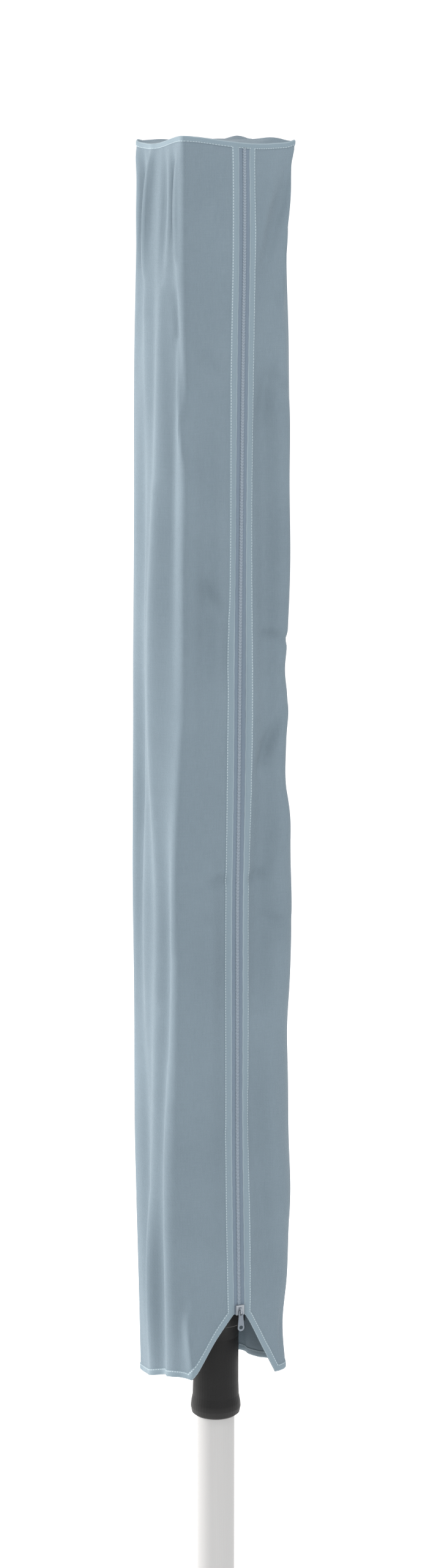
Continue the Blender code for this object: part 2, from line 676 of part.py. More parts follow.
def build_zip_slider():
    """The slider is cast in one with its bridge; the pull hangs on the bridge."""
    near = COVER_SIDE / 2.0 + GAP
    low = SLIDER_LOW
    high = SLIDER_LOW + SLIDER_H
    outline = [
        (near, low),
        (near + 3.2 * MM, low),
        (near + 3.6 * MM, low + 1.0 * MM),
        (near + 3.6 * MM, high - 1.0 * MM),
        (near + 3.2 * MM, high),
        (near, high),
    ]
    slider = plate("zip_slider", outline, -5.5 * MM, 5.5 * MM)
    bridge = [(near + 2.0 * MM, low + 1.2 * MM)]
    bridge += arc(near + 3.6 * MM, low + 6.0 * MM, 4.6 * MM, -80.0, 80.0, 8)
    bridge += [(near + 2.0 * MM, high - 2.2 * MM)]
    union(slider, plate("bridge", bridge, -1.2 * MM, 1.2 * MM))
    cut(slider, cross_rod("eye", 1.9 * MM, near + 5.6 * MM, low + 6.0 * MM, 4.0 * MM))
    turn(slider, FACE_DEG - 90.0)
    angle = math.radians(FACE_DEG - 90.0)
    put_origin(slider, (near * math.cos(angle), near * math.sin(angle), low))

    hinge_x = near + 5.6 * MM
    hinge_z = low + 6.0 * MM
    bar = [(hinge_x + 1.0 * MM, hinge_z), (hinge_x + 0.7 * MM, hinge_z + 0.9 * MM),
           (hinge_x - 0.7 * MM, hinge_z + 0.9 * MM), (hinge_x - 1.0 * MM, hinge_z)]
    bar += [(hinge_x - 1.0 * MM, hinge_z - 24.0 * MM), (hinge_x + 1.0 * MM, hinge_z - 24.0 * MM)]
    pull = plate("zip_pull", bar, -4.0 * MM, 4.0 * MM)
    cut(pull, box("fork", (hinge_x - 0.01, -1.7 * MM, hinge_z - 5.4 * MM),
                  (hinge_x + 0.01, 1.7 * MM, hinge_z - 1.0 * MM)))
    hole = rod("hole", 2.2 * MM, -0.01, 0.01, 20)
    hole.data.transform(Matrix.Rotation(math.radians(90.0), 4, "Y"))
    hole.data.transform(Matrix.Translation((hinge_x, 0.0, hinge_z - 20.0 * MM)))
    cut(pull, hole)
    turn(pull, FACE_DEG - 90.0)
    put_origin(pull, (hinge_x * math.cos(angle), hinge_x * math.sin(angle), hinge_z))


def main():
    clear_scene()
    build_foot()
    build_mast()
    build_hub()
    for index in range(ARM_COUNT):
        azimuth = FIRST_ARM_DEG + 360.0 / ARM_COUNT * index
        build_stay(index + 1, azimuth)
        build_arm(index + 1, azimuth)
    build_crown()
    build_lock_pin()
    build_cover()
    build_zip_slider()


main()
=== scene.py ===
"""Looks of the folded rotary clothesline and its zipped cover, on the frame of solids.

Metres, row frame: +Z up the mast, the camera on the -Y side. The cover is one cloth tube of
square section with an arm in each corner. Places on it are given as (turn, height), where turn
counts faces from the zip, positive to the right: 0 is the zip, 0.5 and -0.5 the corners beside
it, and 4 is all the way round.
"""

import math

import bmesh
import bpy
import numpy as np
from mathutils import Matrix, Vector


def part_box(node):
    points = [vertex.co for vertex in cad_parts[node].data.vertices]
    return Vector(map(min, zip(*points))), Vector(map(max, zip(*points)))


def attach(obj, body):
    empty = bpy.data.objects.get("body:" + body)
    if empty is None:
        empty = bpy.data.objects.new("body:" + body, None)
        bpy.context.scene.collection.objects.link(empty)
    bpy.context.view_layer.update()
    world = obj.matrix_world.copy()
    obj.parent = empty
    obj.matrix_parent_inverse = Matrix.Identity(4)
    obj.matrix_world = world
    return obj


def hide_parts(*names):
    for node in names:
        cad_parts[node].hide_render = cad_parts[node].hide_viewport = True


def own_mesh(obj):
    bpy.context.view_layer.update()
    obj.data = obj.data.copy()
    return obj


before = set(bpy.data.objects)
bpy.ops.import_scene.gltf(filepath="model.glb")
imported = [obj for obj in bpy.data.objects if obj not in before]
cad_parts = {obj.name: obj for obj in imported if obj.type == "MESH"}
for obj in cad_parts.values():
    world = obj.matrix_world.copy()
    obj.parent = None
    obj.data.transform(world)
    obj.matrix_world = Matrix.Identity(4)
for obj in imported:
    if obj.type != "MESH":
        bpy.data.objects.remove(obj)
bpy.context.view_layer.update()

MM = 0.001

# Cloth round one face, and how many degrees the face with the zip is turned from -Y towards +X
FACE = 0.150
FACE_DEG = 23.0

# Half the zip's width, in turns, and the height of its foot, where the cloth opens into a V
ZIP_HALF = 7.6 * MM / FACE
ZIP_FOOT = 0.7215

# Where the flaps of the V end at the hem, in turns from the zip, and how much their edges bow
FLAP_RIGHT = 56.0 * MM / FACE
FLAP_LEFT = 65.0 * MM / FACE
RIGHT_BOW = 0.92
LEFT_BOW = 0.96

# Heights of the top seam and the hem at the corners: front left, front right, back right, back left
SEAM_CORNERS = (2.2405, 2.2300, 2.2265, 2.2260)
HEM_CORNERS = (0.6390, 0.6320, 0.6090, 0.6060)

# The plain square section, in mm: its side, its corner radius and what both lose at the top seam
SIDE = 157.5
SIDE_LOSS = 6.0
CORNER_R = 17.0
CORNER_LOSS = 11.0

# The cloth grid
BODY_COLUMNS = 132
ZIP_COLUMNS = 4
COLUMNS = BODY_COLUMNS + ZIP_COLUMNS
ROWS = 336

# How strongly the listed folds and swells are laid in, and the fine ripples over the whole cloth
CREASE_GAIN = 2.1
SWELL_GAIN = 1.15
RIPPLES = 26
RIPPLE_SIZE = 2.3 * MM

# The cloth simulation: its frames, how far it may move the cloth, and its share in the result
SIM_FRAMES = 16
SIM_REACH = 7.0 * MM
SIM_SHARE = 0.30

# The rods that stand for the four arms in the simulation: their radius and distance from the mast
ROD_R = 11.0 * MM
ROD_OUT = 80.0 * MM

# Angle between faces above which an edge of a solid stays sharp in shading
SHARP = math.radians(38.0)

# How far right of the middle of its face the zip hangs, in mm
ZIP_HEIGHTS = (0.72, 0.93, 1.27, 1.66, 1.97, 2.20)
ZIP_ASIDE = (2.4, 0.4, -0.6, 3.4, 6.4, 6.2)


def smooth(value, low, high):
    """Rises from 0 at low to 1 at high, flat at both ends."""
    share = np.clip((value - low) / (high - low), 0.0, 1.0)
    return share * share * (3.0 - 2.0 * share)


def bell(value, middle, reach):
    """1 in the middle, dying away on both sides."""
    return np.exp(-((value - middle) / reach) ** 2)


def from_zip(turn):
    """The turn counted the short way round, from -2 to 2."""
    return np.mod(turn + 2.0, 4.0) - 2.0


def by_corner(turn, front_left, front_right, back_right, back_left):
    """Values given at the four corners, eased along each face between them."""
    place = np.mod(turn + 0.5, 4.0)
    face = np.minimum(np.floor(place).astype(int), 3)
    share = place - face
    ease = share * share * (3.0 - 2.0 * share)
    values = np.array([front_left, front_right, back_right, back_left, front_left])
    return values[face] * (1.0 - ease) + values[face + 1] * ease


def top_edge(turn):
    """Height of the sewn top edge: up over the arm tips, down between them."""
    along = np.mod(turn + 0.5, 1.0)
    sag = 5.0 * MM * np.sin(np.pi * along) ** 1.5
    near = from_zip(turn)
    ears = 2.6 * MM * (bell(near, 0.5, 0.05) + bell(near, -1.5, 0.05))
    return by_corner(turn, *SEAM_CORNERS) - sag + ears


def hem_edge(turn):
    return by_corner(turn, *HEM_CORNERS)


def flap_turn(side, open_share):
    """How far round from the zip the edge of a flap stands; side is 1 right of it, -1 left."""
    flap, bow = (FLAP_RIGHT, RIGHT_BOW) if side > 0 else (FLAP_LEFT, LEFT_BOW)
    return ZIP_HALF + (flap - ZIP_HALF) * open_share ** bow


def section(turn, height):
    """Point and outward normal of the cover's plain section."""
    near_top = smooth(height, 2.05, 2.215)
    side = (SIDE - SIDE_LOSS * near_top) * MM
    quarter = np.floor(turn + 0.5)
    place = np.mod(turn, 4.0)
    by_front_left = np.abs(place - 3.5) < 0.5
    # the front left corner is rounder, as the cloth is slack there
    softer = 14.0 * smooth(2.15 - height, 0.0, 0.12) + 8.0 * bell(height, 1.75, 0.22)
    corner = (CORNER_R - CORNER_LOSS * near_top + softer * by_front_left) * MM
    flat_half = side / 2.0 - corner
    length = 2.0 * flat_half + math.pi / 2.0 * corner
    along = (turn - quarter) * length
    flat = np.clip(along, -flat_half, flat_half)
    bend = (along - flat) / corner
    out = flat_half + corner * np.cos(bend)
    across = flat + corner * np.sin(bend)
    angle = np.radians(FACE_DEG - 90.0) + math.pi / 2.0 * quarter
    ca, sa = np.cos(angle), np.sin(angle)
    nx, ny = np.cos(bend), np.sin(bend)
    point = np.stack([out * ca - across * sa, out * sa + across * ca, height], axis=-1)
    normal = np.stack([nx * ca - ny * sa, nx * sa + ny * ca, np.zeros_like(height)], axis=-1)
    return point, normal


# Folds: (turn, height) of both ends, half width and ridge height in mm (negative is a valley)
CREASES = (
    ((-0.60, 2.225), (-0.62, 2.090), 5.0, 3.6),
    ((-0.72, 2.215), (-0.74, 2.110), 6.0, -3.4),
    ((-0.88, 2.220), (-0.84, 2.060), 8.0, -3.0),
    ((-1.13, 2.228), (-1.17, 2.070), 8.0, 5.0),
    ((-1.37, 2.220), (-1.35, 2.080), 8.0, -3.6),
    ((-0.62, 2.050), (-0.52, 1.900), 9.0, -3.0),
    ((-0.60, 1.990), (-0.50, 1.850), 5.0, 3.0),
    ((0.48, 2.205), (0.22, 2.080), 11.0, -4.6),
    ((0.36, 2.215), (0.12, 2.110), 12.0, 2.6),
    ((0.46, 2.120), (0.36, 2.000), 5.0, 2.4),
    ((0.40, 2.020), (0.17, 1.880), 10.0, -2.2),
    ((-0.38, 1.985), (-0.14, 1.940), 7.0, -2.0),
    ((-0.42, 1.860), (-0.30, 1.700), 14.0, 1.6),
    ((0.28, 1.945), (0.47, 1.925), 6.0, -2.6),
    ((-0.34, 1.690), (-0.12, 1.640), 8.0, -2.6),
    ((-0.12, 1.640), (-0.10, 1.560), 7.0, -2.0),
    ((0.22, 1.622), (0.48, 1.610), 6.0, -3.0),
    ((0.44, 1.530), (0.16, 1.440), 8.0, -3.4),
    ((0.47, 1.400), (0.30, 1.290), 12.0, 1.8),
    ((-0.32, 1.302), (-0.08, 1.306), 7.0, -2.6),
    ((0.09, 1.300), (0.24, 1.312), 6.0, -2.4),
    ((0.26, 1.250), (0.47, 1.240), 8.0, -3.2),
    ((-0.52, 1.500), (-0.60, 1.220), 10.0, 2.2),
    ((0.18, 1.130), (0.45, 0.850), 14.0, 2.2),
    ((0.10, 1.020), (0.32, 0.760), 12.0, -1.8),
    ((-0.48, 1.000), (-0.12, 0.960), 12.0, -2.0),
    ((-0.45, 0.860), (-0.20, 0.780), 12.0, 1.6),
    ((-0.70, 1.050), (-0.62, 0.700), 12.0, 2.0),
    ((-1.10, 0.860), (-1.00, 0.620), 12.0, 2.2),
    ((-0.48, 0.720), (-0.40, 0.632), 7.0, 3.0),
    ((-1.15, 2.000), (-1.05, 1.400), 12.0, -2.4),
    ((-0.85, 1.800), (-0.90, 1.150), 12.0, 2.6),
    ((-1.20, 1.350), (-1.10, 0.900), 12.0, 1.8),
    ((0.75, 2.150), (0.95, 1.700), 14.0, -3.0),
    ((1.15, 1.900), (1.30, 1.300), 14.0, 3.0),
    ((0.70, 1.400), (1.05, 1.050), 14.0, -3.0),
    ((1.70, 2.100), (1.95, 1.600), 14.0, -3.0),
    ((2.20, 1.700), (2.05, 1.050), 16.0, 3.0),
    ((1.80, 1.250), (2.30, 0.900), 14.0, -3.0),
    ((1.00, 0.950), (1.20, 0.640), 12.0, 2.4),
    ((2.10, 0.900), (1.95, 0.640), 12.0, 2.4),
)

# Places that bulge over an arm or fall in between two: turn, height, reach round in turns, reach up
# in metres, and lift in mm
SWELLS = (
    (0.50, 2.085, 0.16, 0.070, -6.0),
    (0.50, 1.885, 0.14, 0.055, 2.4),
    (0.50, 1.700, 0.14, 0.080, 2.2),
    (0.50, 1.573, 0.10, 0.022, -2.8),
    (0.50, 1.522, 0.10, 0.026, 3.4),
    (0.50, 1.430, 0.12, 0.040, -3.2),
    (0.50, 1.320, 0.12, 0.040, -1.0),
    (0.50, 1.095, 0.14, 0.050, -2.4),
    (0.50, 0.880, 0.14, 0.060, 3.4),
    (0.52, 0.690, 0.20, 0.050, -7.0),
    (-0.20, 1.900, 0.24, 0.200, -2.4),
    (-0.22, 1.250, 0.20, 0.250, -2.0),
    (0.28, 1.750, 0.16, 0.150, -2.0),
    (-1.02, 1.680, 0.36, 0.330, 13.0),
    (-1.02, 0.950, 0.36, 0.350, 7.0),
    (-1.50, 1.400, 0.16, 0.500, 1.8),
    (-1.50, 2.190, 0.14, 0.040, -2.0),
    (1.00, 1.500, 0.34, 0.500, -4.0),
    (2.00, 1.500, 0.34, 0.500, -4.0),
    (-0.50, 0.660, 0.10, 0.050, 3.0),
    (0.50, 2.238, 0.035, 0.010, 3.0),
    (-1.50, 2.236, 0.035, 0.010, 3.0),
)


def fold_lift(turn, height):
    """How far the cloth stands out from its plain section."""
    x = turn * FACE
    lift = np.zeros_like(height)
    for (turn_a, z_a), (turn_b, z_b), width, ridge in CREASES:
        best = np.zeros_like(height)
        for lap in (-4.0, 0.0):
            ax, bx = (turn_a - lap) * FACE, (turn_b - lap) * FACE
            dx, dz = bx - ax, z_b - z_a
            share = np.clip(((x - ax) * dx + (height - z_a) * dz) / (dx * dx + dz * dz), 0.0, 1.0)
            off = np.hypot(x - ax - share * dx, height - z_a - share * dz)
            fade = np.sin(np.pi * (0.12 + 0.76 * share))
            best = np.maximum(best, fade * np.exp(-(off / (width * MM)) ** 2))
        lift += CREASE_GAIN * ridge * MM * best
    for middle, height_at, reach_turn, reach_up, rise in SWELLS:
        around = bell(from_zip(turn - middle), 0.0, reach_turn)
        lift += SWELL_GAIN * rise * MM * around * bell(height, height_at, reach_up)
    angle = turn * math.pi / 2.0
    rng = np.random.default_rng(11)
    for _ in range(RIPPLES):
        laps = rng.integers(3, 15)
        rate = rng.uniform(1.5, 9.0)
        phase = rng.uniform(0.0, 2.0 * math.pi, 2)
        size = RIPPLE_SIZE / (1.0 + 0.22 * laps)
        lift += size * np.sin(laps * angle + phase[0] + 1.2 * np.sin(rate * height + phase[1])
                              + rng.uniform(-4.0, 4.0) * height)
    # the zip is stiff, so the cloth lies flatter beside it
    stiff = 1.0 - 0.75 * bell(from_zip(turn), 0.0, 11.0 * MM / FACE)
    return lift * stiff


def cover_surface(turn, height):
    """Where the cloth lies before the simulation."""
    near = from_zip(turn)
    aside = np.interp(height, ZIP_HEIGHTS, ZIP_ASIDE) * MM / FACE
    point, normal = section(turn + aside * bell(near, 0.0, 0.24), height)
    # the top seam holds the folds down
    below_seam = smooth(2.232 - height, 0.0, 0.03)
    lift = fold_lift(turn, height) * (0.25 + 0.75 * below_seam)
    point = point + normal * lift[..., None]
    # the whole cover hangs a little to the left of the mast below its top
    point[..., 0] -= 3.0 * MM * smooth(2.20 - height, 0.0, 0.25)
    return point


def build_rows():
    """Turn and height of every point of the cloth grid, and which row the zip ends on."""
    body = np.linspace(ZIP_HALF, 4.0 - ZIP_HALF, BODY_COLUMNS + 1)
    zip_inner = np.linspace(4.0 - ZIP_HALF, 4.0 + ZIP_HALF, ZIP_COLUMNS + 1)[1:-1]
    turns = np.concatenate([body, zip_inner])
    foot_share = (ZIP_FOOT - hem_edge(0.0)) / (top_edge(0.0) - hem_edge(0.0))
    foot_row = int(round(float(foot_share) * ROWS))
    turn_rows = []
    height_rows = []
    for row in range(ROWS + 1):
        line = turns.copy()
        if row < foot_row:
            open_share = (foot_row - row) / foot_row
            right = flap_turn(1.0, open_share)
            left = flap_turn(-1.0, open_share)
            first = line < 0.5
            line[first] = right + (line[first] - ZIP_HALF) / (0.5 - ZIP_HALF) * (0.5 - right)
            last = (line > 3.5) & (line <= 4.0 - ZIP_HALF + 1e-9)
            back = 4.0 - line[last]
            line[last] = 4.0 - (left + (back - ZIP_HALF) / (0.5 - ZIP_HALF) * (0.5 - left))
        turn_rows.append(line)
        bottom = hem_edge(line)
        height_rows.append(bottom + (top_edge(line) - bottom) * row / ROWS)
    return np.array(turn_rows), np.array(height_rows), foot_row


turn_grid, height_grid, foot_row = build_rows()
cloth_grid = cover_surface(turn_grid, height_grid)


def grid_mesh(name, points, faces, coords):
    """A mesh from rows of points, smooth, with a UV layer in metres."""
    mesh = bpy.data.meshes.new(name)
    mesh.from_pydata(points.tolist(), [], faces)
    layer = mesh.uv_layers.new(name="cloth")
    index = np.zeros(len(mesh.loops), np.int32)
    mesh.loops.foreach_get("vertex_index", index)
    layer.data.foreach_set("uv", coords[index].astype(np.float32).ravel())
    mesh.shade_smooth()
    mesh.update()
    item = bpy.data.objects.new(name, mesh)
    bpy.context.scene.collection.objects.link(item)
    return item


def cloth_faces(columns_of):
    """Faces of the cloth grid; columns_of(row) gives the first column and the one past the last."""
    index = np.arange((ROWS + 1) * COLUMNS).reshape(ROWS + 1, COLUMNS)
    faces = []
    for row in range(ROWS):
        for column in range(*columns_of(row)):
            after = (column + 1) % COLUMNS
            faces.append((int(index[row, column]), int(index[row, after]),
                          int(index[row + 1, after]), int(index[row + 1, column])))
    return faces


def strip_faces(steps, wide):
    """Faces of a strip whose points come as rows of the same width."""
    return [(step * wide + column, step * wide + column + 1,
             (step + 1) * wide + column + 1, (step + 1) * wide + column)
            for step in range(steps - 1) for column in range(wide - 1)]


def simulate(points):
    """Let the sewn tube hang from its top edge for a moment, over the four arms."""
    flat = points.reshape(-1, 3)
    faces = cloth_faces(lambda row: (0, COLUMNS if row >= foot_row else BODY_COLUMNS))
    tube = grid_mesh("sim_tube", flat, faces, np.zeros((len(flat), 2)))
    pins = tube.vertex_groups.new(name="pins")
    pins.add(list(range((ROWS - 1) * COLUMNS, (ROWS + 1) * COLUMNS)), 1.0, "REPLACE")
    arms = []
    for corner in range(4):
        angle = math.radians(FACE_DEG - 90.0 + 45.0 + 90.0 * corner)
        bpy.ops.mesh.primitive_cylinder_add(vertices=16, radius=ROD_R, depth=1.50,
                                            location=(ROD_OUT * math.cos(angle) - 2.0 * MM,
                                                      ROD_OUT * math.sin(angle), 1.48))
        arm = bpy.context.object
        collide = arm.modifiers.new("collide", "COLLISION")
        collide.settings.thickness_outer = 0.002
        arms.append(arm)
    cloth = tube.modifiers.new("cloth", "CLOTH")
    settings = cloth.settings
    settings.quality = 5
    settings.mass = 0.02
    settings.air_damping = 4.0
    settings.tension_stiffness = 40.0
    settings.compression_stiffness = 40.0
    settings.shear_stiffness = 12.0
    settings.bending_stiffness = 0.1
    settings.tension_damping = 12.0
    settings.compression_damping = 12.0
    settings.shear_damping = 12.0
    settings.vertex_group_mass = "pins"
    settings.shrink_min = -0.02
    cloth.collision_settings.use_self_collision = False
    cloth.collision_settings.collision_quality = 2
    cloth.collision_settings.distance_min = 0.002
    scene = bpy.context.scene
    cloth.point_cache.frame_start = 1
    cloth.point_cache.frame_end = SIM_FRAMES
    for step in range(1, SIM_FRAMES + 1):
        scene.frame_set(step)
    graph = bpy.context.evaluated_depsgraph_get()
    shown = tube.evaluated_get(graph).to_mesh()
    moved = np.zeros(len(shown.vertices) * 3, np.float32)
    shown.vertices.foreach_get("co", moved)
    tube.evaluated_get(graph).to_mesh_clear()
    moved = moved.reshape(points.shape).astype(float)
    scene.frame_set(1)
    for item in arms + [tube]:
        bpy.data.objects.remove(item, do_unlink=True)
    change = moved - points
    size = np.linalg.norm(change, axis=-1, keepdims=True)
    change *= np.minimum(1.0, SIM_REACH / np.maximum(size, 1e-9))
    return points + change


cloth_grid = (1.0 - SIM_SHARE) * cloth_grid + SIM_SHARE * simulate(cloth_grid)


def grid_normals(points):
    """Outward normals of the whole grid. Its columns are in order round the tube."""
    around = np.roll(points, -1, axis=1) - np.roll(points, 1, axis=1)
    around[:, 0] = points[:, 1] - points[:, 0]
    around[:, BODY_COLUMNS] = points[:, BODY_COLUMNS] - points[:, BODY_COLUMNS - 1]
    up = np.gradient(points, axis=0)
    normal = np.cross(around, up)
    return normal / np.maximum(np.linalg.norm(normal, axis=-1, keepdims=True), 1e-12)


cloth_normals = grid_normals(cloth_grid)


def on_cloth(along, height):
    """Point and normal on the finished cloth; along runs round it from the zip, to the right."""
    turn = along / FACE
    low_end = float(hem_edge(np.array(turn)))
    high_end = float(top_edge(np.array(turn)))
    row = (height - low_end) / (high_end - low_end) * ROWS
    low = int(min(max(math.floor(row), 0), ROWS - 1))
    part = row - low
    place = turn % 4.0
    points = []
    normals = []
    for line in (low, low + 1):
        turns = turn_grid[line]
        # below the zip's foot the flaps are apart, above it the columns go all the way round
        if line < foot_row:
            near = min(max(place, turns[0]), turns[BODY_COLUMNS])
        else:
            near = place + 4.0 if place < turns[0] else place
        ring = np.append(turns, turns[0] + 4.0)
        where = int(np.clip(np.searchsorted(ring, near), 1, len(ring) - 1))
        a, b = where - 1, where % len(turns)
        span = max(ring[where] - ring[where - 1], 1e-9)
        mix = min(max((near - ring[where - 1]) / span, 0.0), 1.0)
        points.append(cloth_grid[line, a] * (1.0 - mix) + cloth_grid[line, b] * mix)
        normals.append(cloth_normals[line, a] * (1.0 - mix) + cloth_normals[line, b] * mix)
    point = points[0] * (1.0 - part) + points[1] * part
    normal = normals[0] * (1.0 - part) + normals[1] * part
    return point, normal / np.linalg.norm(normal)


# ---------------------------------------------------------------- materials

def new_material(name, color, rough, metallic=0.0, specular=0.5):
    material = bpy.data.materials.new(name)
    material.use_nodes = True
    nodes = material.node_tree.nodes
    shader = nodes["Principled BSDF"]
    shader.inputs["Base Color"].default_value = (*color, 1.0)
    shader.inputs["Roughness"].default_value = rough
    shader.inputs["Metallic"].default_value = metallic
    shader.inputs["Specular IOR Level"].default_value = specular
    return material, nodes, material.node_tree.links, shader


def math_node(nodes, links, operation, first, second=None, third=None, clamp=False):
    node = nodes.new("ShaderNodeMath")
    node.operation = operation
    node.use_clamp = clamp
    for slot, value in enumerate((first, second, third)):
        if value is None:
            continue
        if isinstance(value, (int, float)):
            node.inputs[slot].default_value = value
        else:
            links.new(value, node.inputs[slot])
    return node.outputs[0]


def noise_node(nodes, links, vector, scale, detail=2.0, rough=0.5):
    node = nodes.new("ShaderNodeTexNoise")
    node.inputs["Scale"].default_value = scale
    node.inputs["Detail"].default_value = detail
    node.inputs["Roughness"].default_value = rough
    links.new(vector, node.inputs["Vector"])
    return node.outputs["Fac"]


def stretched(nodes, links, vector, scale):
    node = nodes.new("ShaderNodeMapping")
    node.inputs["Scale"].default_value = scale
    links.new(vector, node.inputs["Vector"])
    return node.outputs["Vector"]


def mix_colors(nodes, links, factor, first, second):
    node = nodes.new("ShaderNodeMix")
    node.data_type = "RGBA"
    if isinstance(factor, (int, float)):
        node.inputs["Factor"].default_value = factor
    else:
        links.new(factor, node.inputs["Factor"])
    for slot, value in ((6, first), (7, second)):
        if isinstance(value, tuple):
            node.inputs[slot].default_value = (*value, 1.0)
        else:
            links.new(value, node.inputs[slot])
    return node.outputs[2]


def add_bump(nodes, links, shader, height, strength, distance):
    bump = nodes.new("ShaderNodeBump")
    bump.inputs["Strength"].default_value = strength
    bump.inputs["Distance"].default_value = distance
    links.new(height, bump.inputs["Height"])
    links.new(bump.outputs["Normal"], shader.inputs["Normal"])


def cloth_coords(nodes, links):
    node = nodes.new("ShaderNodeUVMap")
    node.uv_map = "cloth"
    split = nodes.new("ShaderNodeSeparateXYZ")
    links.new(node.outputs["UV"], split.inputs["Vector"])
    return node.outputs["UV"], split.outputs["X"], split.outputs["Y"]


def woven(name, dark, light, pitch, rough=0.82, sheen=0.06, strength=0.35):
    """Plain weave: every other crossing stands up, with uneven yarn."""
    material, nodes, links, shader = new_material(name, light, rough, 0.0, 0.15)
    coords, u, v = cloth_coords(nodes, links)
    rate = 2.0 * math.pi / pitch
    wobble = noise_node(nodes, links, coords, 90.0, 2.0)
    wobble = math_node(nodes, links, "MULTIPLY", wobble, 2.2)
    across = math_node(nodes, links, "ADD", math_node(nodes, links, "MULTIPLY", u, rate), wobble)
    along = math_node(nodes, links, "ADD", math_node(nodes, links, "MULTIPLY", v, rate), wobble)
    crossing = math_node(nodes, links, "MULTIPLY", math_node(nodes, links, "SINE", across),
                         math_node(nodes, links, "SINE", along))
    raised = math_node(nodes, links, "MULTIPLY_ADD", crossing, 0.5, 0.5)
    yarn = noise_node(nodes, links, stretched(nodes, links, coords, (900.0, 60.0, 1.0)), 1.0, 1.0)
    weft = noise_node(nodes, links, stretched(nodes, links, coords, (60.0, 900.0, 1.0)), 1.0, 1.0)
    cloud = noise_node(nodes, links, coords, 7.0, 3.0)
    tone = math_node(nodes, links, "MULTIPLY", raised, 0.80)
    tone = math_node(nodes, links, "ADD", tone, math_node(nodes, links, "MULTIPLY", yarn, 0.10))
    tone = math_node(nodes, links, "ADD", tone, math_node(nodes, links, "MULTIPLY", weft, 0.08))
    tone = math_node(nodes, links, "ADD", tone, math_node(nodes, links, "MULTIPLY", cloud, 0.18),
                     clamp=True)
    links.new(mix_colors(nodes, links, tone, dark, light), shader.inputs["Base Color"])
    shader.inputs["Sheen Weight"].default_value = sheen
    shader.inputs["Sheen Roughness"].default_value = 0.45
    add_bump(nodes, links, shader, raised, strength, 0.25 * MM)
    return material


def binding(name, dark, light, thread_and_highlight):
    """Ribbed tape with a row of lock stitches near its inner edge, and a painted highlight along its
    folded edge.
    """
    material, nodes, links, shader = new_material(name, light, 0.78, 0.0, 0.3)
    coords, u, v = cloth_coords(nodes, links)
    rib = math_node(nodes, links, "SINE", math_node(nodes, links, "MULTIPLY", v,
                                                    2.0 * math.pi / (1.1 * MM)))
    rib = math_node(nodes, links, "MULTIPLY", rib, 0.5)
    grain = noise_node(nodes, links, coords, 1400.0, 2.0)
    cloud = noise_node(nodes, links, coords, 30.0, 3.0)
    tone = math_node(nodes, links, "ADD", math_node(nodes, links, "MULTIPLY", grain, 0.6),
                     math_node(nodes, links, "MULTIPLY", cloud, 0.5), clamp=True)
    tone = math_node(nodes, links, "ADD", tone, math_node(nodes, links, "MULTIPLY", rib, 0.18),
                     clamp=True)
    color = mix_colors(nodes, links, tone, dark, light)
    beat = math_node(nodes, links, "FRACT", math_node(nodes, links, "DIVIDE", v, 3.6 * MM))
    dash = math_node(nodes, links, "LESS_THAN", beat, 0.66)
    offset = math_node(nodes, links, "ABSOLUTE", math_node(nodes, links, "SUBTRACT", u, 0.84))
    line = math_node(nodes, links, "LESS_THAN", offset, 0.06)
    stitch = math_node(nodes, links, "MULTIPLY", dash, line)
    color = mix_colors(nodes, links, stitch, color, thread_and_highlight)
    # painted highlight: the tape's folded edge is mixed towards the thread colour, as if it caught the
    # light
    fold_highlight = math_node(nodes, links, "LESS_THAN", u, 0.10)
    color = mix_colors(nodes, links, math_node(nodes, links, "MULTIPLY", fold_highlight, 0.4), color, thread_and_highlight)
    links.new(color, shader.inputs["Base Color"])
    shader.inputs["Sheen Weight"].default_value = 0.05
    groove = math_node(nodes, links, "LESS_THAN", offset, 0.10)
    height = math_node(nodes, links, "SUBTRACT", math_node(nodes, links, "MULTIPLY", stitch, 1.6),
                       groove)
    height = math_node(nodes, links, "ADD", height, math_node(nodes, links, "MULTIPLY", rib, 0.4))
    add_bump(nodes, links, shader, height, 0.5, 0.3 * MM)
    return material


def coil(name, dark, light):
    """Slanting teeth that meet in a row of Vs, painted lighter on their tops and darker in the gaps
    between them.
    """
    material, nodes, links, shader = new_material(name, light, 0.45, 0.0, 0.5)
    coords, u, v = cloth_coords(nodes, links)
    slant = math_node(nodes, links, "MULTIPLY", math_node(nodes, links, "ABSOLUTE",
                                                          math_node(nodes, links, "SUBTRACT", u, 0.5)),
                      5.0)
    phase = math_node(nodes, links, "ADD", math_node(nodes, links, "MULTIPLY", v,
                                                     2.0 * math.pi / (1.9 * MM)), slant)
    tooth = math_node(nodes, links, "SINE", phase)
    share = math_node(nodes, links, "MULTIPLY_ADD", tooth, 0.5, 0.5)
    # painted highlight and shade: the colour follows the teeth's relief, lit on the tops and shaded in
    # the gaps
    links.new(mix_colors(nodes, links, share, dark, light), shader.inputs["Base Color"])
    add_bump(nodes, links, shader, share, 0.8, 0.6 * MM)
    return material


